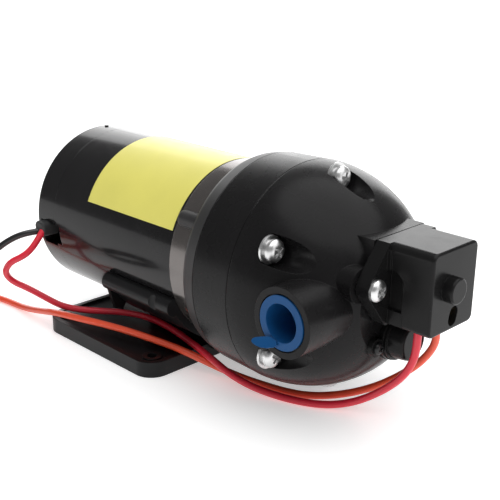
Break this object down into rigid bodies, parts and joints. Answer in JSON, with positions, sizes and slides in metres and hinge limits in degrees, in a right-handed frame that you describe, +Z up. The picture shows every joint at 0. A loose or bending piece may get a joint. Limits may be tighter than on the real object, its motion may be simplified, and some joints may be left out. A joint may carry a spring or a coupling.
{
  "type": "diaphragm pump",
  "caption": "Small electric demand water pump: round motor on a base plate, domed diaphragm head with side ports, a pressure switch on its front and loose leads.",
  "frame": {"origin": "centre of the base plate's underside, on the surface that the pump stands on", "axes": "+Z up; the pump axis runs along Y, head and pressure switch towards -Y, motor towards +Y; the ports point to -X and +X"},
  "size_m": [0.1729, 0.2908, 0.1048],
  "materials": {
    "base_plastic": "moulded, fine satin grain",
    "can_black": "gloss black powder coat on steel",
    "yellow_label": "yellow film label, satin",
    "bell_silver": "die-cast, satin, lightly reflective",
    "ferrite": "ferrite magnet, dark grey",
    "grommet_rubber": "soft rubber",
    "bearing_steel": "ground bearing steel",
    "phenolic": "brown phenolic board",
    "brass": "plain brass",
    "carbon": "pressed carbon brush",
    "spring_steel": "spring wire",
    "ring_plastic": "dark grey moulded plastic",
    "head_plastic": "black glass-filled moulding, fine grain",
    "diaphragm_rubber": "smooth black rubber",
    "white_plastic": "natural engineering plastic",
    "valve_rubber": "soft valve rubber",
    "zinc_screw": "bright zinc-plated steel",
    "switch_plastic": "black moulded plastic",
    "black_screw": "black-finished steel screw",
    "wire_red": "soft vinyl insulation, satin",
    "wire_orange": "soft vinyl insulation, satin",
    "wire_black": "soft vinyl insulation, satin",
    "tinned_copper": "tinned copper strands",
    "shaft_steel": "ground steel",
    "laminations": "stacked iron laminations",
    "copper_winding": "enamelled copper wire",
    "copper": "turned copper bars",
    "plug_blue": "blue moulded plastic, satin"
  },
  "bodies": {
    "pump": {"base_plate": "base_plastic", "cradle_screws": "zinc_screw", "motor_can": "can_black", "motor_rear_cover": "can_black", "motor_label": "yellow_label", "front_bell": "bell_silver", "through_bolts": "zinc_screw", "field_magnets": "ferrite", "lead_grommet": "grommet_rubber", "rear_bearing": "bearing_steel", "front_bearing": "bearing_steel", "brush_plate": "phenolic", "brush_holders": "brass", "brushes": "carbon", "brush_springs": "spring_steel", "cam_housing": "ring_plastic", "lower_housing": "head_plastic", "diaphragm_web": "diaphragm_rubber", "valve_plate": "white_plastic", "head_seal": "diaphragm_rubber", "inlet_valves": "valve_rubber", "outlet_valve": "valve_rubber", "upper_housing": "head_plastic", "head_screws": "zinc_screw", "head_washers": "zinc_screw", "head_lock_washers": "zinc_screw", "switch_housing": "switch_plastic", "switch_diaphragm": "diaphragm_rubber", "switch_spring": "spring_steel", "microswitch": "white_plastic", "switch_terminals": "brass", "switch_screws": "zinc_screw", "relief_cap": "switch_plastic", "relief_cap_screws": "black_screw", "relief_spring": "spring_steel", "red_wire": "wire_red", "orange_wire": "wire_orange", "black_wire": "wire_black", "orange_coil": "wire_orange", "black_coil": "wire_black", "orange_tip": "tinned_copper", "black_tip": "tinned_copper"},
    "rotor": {"rotor_shaft": "shaft_steel", "armature_core": "laminations", "armature_windings": "copper_winding", "commutator": "copper", "cam": "shaft_steel"},
    "wobble": {"wobble_bearing": "bearing_steel", "wobble_plate": "white_plastic", "diaphragm_pads": "diaphragm_rubber", "piston_caps": "white_plastic", "piston_screws": "shaft_steel"},
    "port_plug_left": {"port_plug_left": "plug_blue"},
    "port_plug_right": {"port_plug_right": "plug_blue"},
    "switch_plunger": {"switch_plunger": "white_plastic"},
    "switch_adjuster": {"switch_adjuster": "brass"},
    "relief_poppet": {"relief_poppet": "white_plastic"}
  },
  "joints": [
    {"name": "rotor_spin", "type": "hinge", "parent": "pump", "child": "rotor", "pos_m": [0, 0, 0.0534], "axis": [0, 1, 0], "continuous": true},
    {"name": "wobble_rock", "type": "hinge", "parent": "rotor", "child": "wobble", "pos_m": [0, -0.0895, 0.0534], "axis": [0, 0.9976, 0.0698], "continuous": true},
    {"name": "left_plug_pull", "type": "slide", "parent": "pump", "child": "port_plug_left", "axis": [-1, 0, 0], "range_m": [0, 0.018]},
    {"name": "right_plug_pull", "type": "slide", "parent": "pump", "child": "port_plug_right", "axis": [1, 0, 0], "range_m": [0, 0.018]},
    {"name": "plunger_travel", "type": "slide", "parent": "pump", "child": "switch_plunger", "axis": [0, -1, 0], "range_m": [0, 0.0012], "stiffness_N_per_m": 2000, "springref_m": -0.001, "deforming": ["switch_spring"]},
    {"name": "adjuster_turn", "type": "hinge", "parent": "pump", "child": "switch_adjuster", "pos_m": [0.0004, -0.158, 0.0547], "axis": [0, -1, 0], "range_deg": [-180, 180]},
    {"name": "poppet_lift", "type": "slide", "parent": "pump", "child": "relief_poppet", "axis": [0, -1, 0], "range_m": [0, 0.0015], "stiffness_N_per_m": 3000, "springref_m": -0.001, "deforming": ["relief_spring"]}
  ],
  "couplings": [
    {"joint": "wobble_rock", "follows": "rotor_spin", "ratio": -1}
  ]
}
